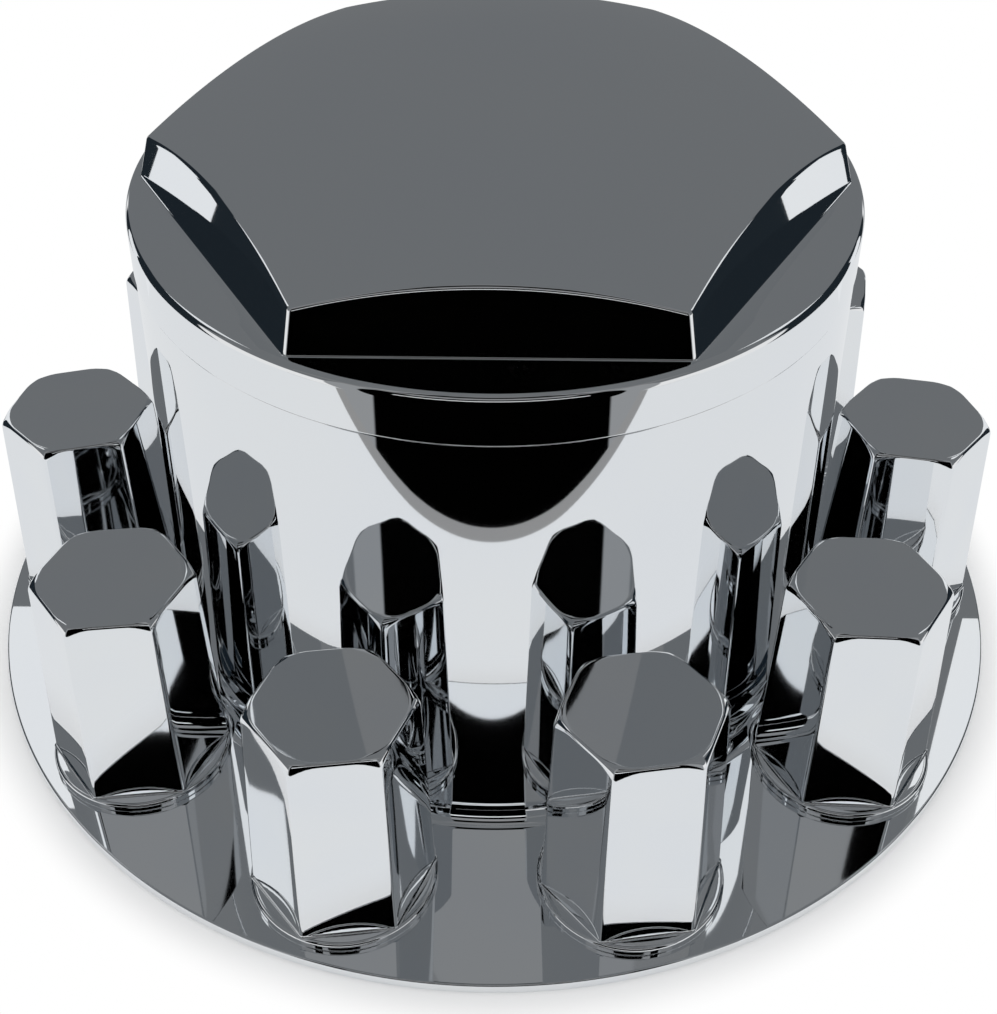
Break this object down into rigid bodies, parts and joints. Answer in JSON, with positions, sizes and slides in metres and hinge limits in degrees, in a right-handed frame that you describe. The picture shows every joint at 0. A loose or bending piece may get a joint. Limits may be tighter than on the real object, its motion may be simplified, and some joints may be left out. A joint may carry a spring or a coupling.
{
  "type": "axle cover",
  "caption": "Chromed rear axle cover: a flanged drum with lug holes, a clip-on cap with a domed hexagon, and hexagonal lug nut covers standing over the holes.",
  "frame": {"origin": "centre of the flange's back face, on the axle's line", "axes": "+Z along the axle, outwards from the wheel; -Y towards the viewer of the picture, between two nut covers"},
  "size_m": [0.352, 0.352, 0.207],
  "materials": {
    "chrome_shell": "bright chrome plating on moulded plastic",
    "chrome_cap": "bright chrome plating on moulded plastic",
    "chrome_nut_cover": "bright chrome plating on moulded plastic"
  },
  "bodies": {
    "root": {"axle_cover": "chrome_shell", "hub_cap": "chrome_cap", "nut_cover_01": "chrome_nut_cover", "nut_cover_02": "chrome_nut_cover", "nut_cover_03": "chrome_nut_cover", "nut_cover_04": "chrome_nut_cover", "nut_cover_05": "chrome_nut_cover", "nut_cover_06": "chrome_nut_cover", "nut_cover_07": "chrome_nut_cover", "nut_cover_08": "chrome_nut_cover", "nut_cover_09": "chrome_nut_cover", "nut_cover_10": "chrome_nut_cover"}
  },
  "joints": []
}
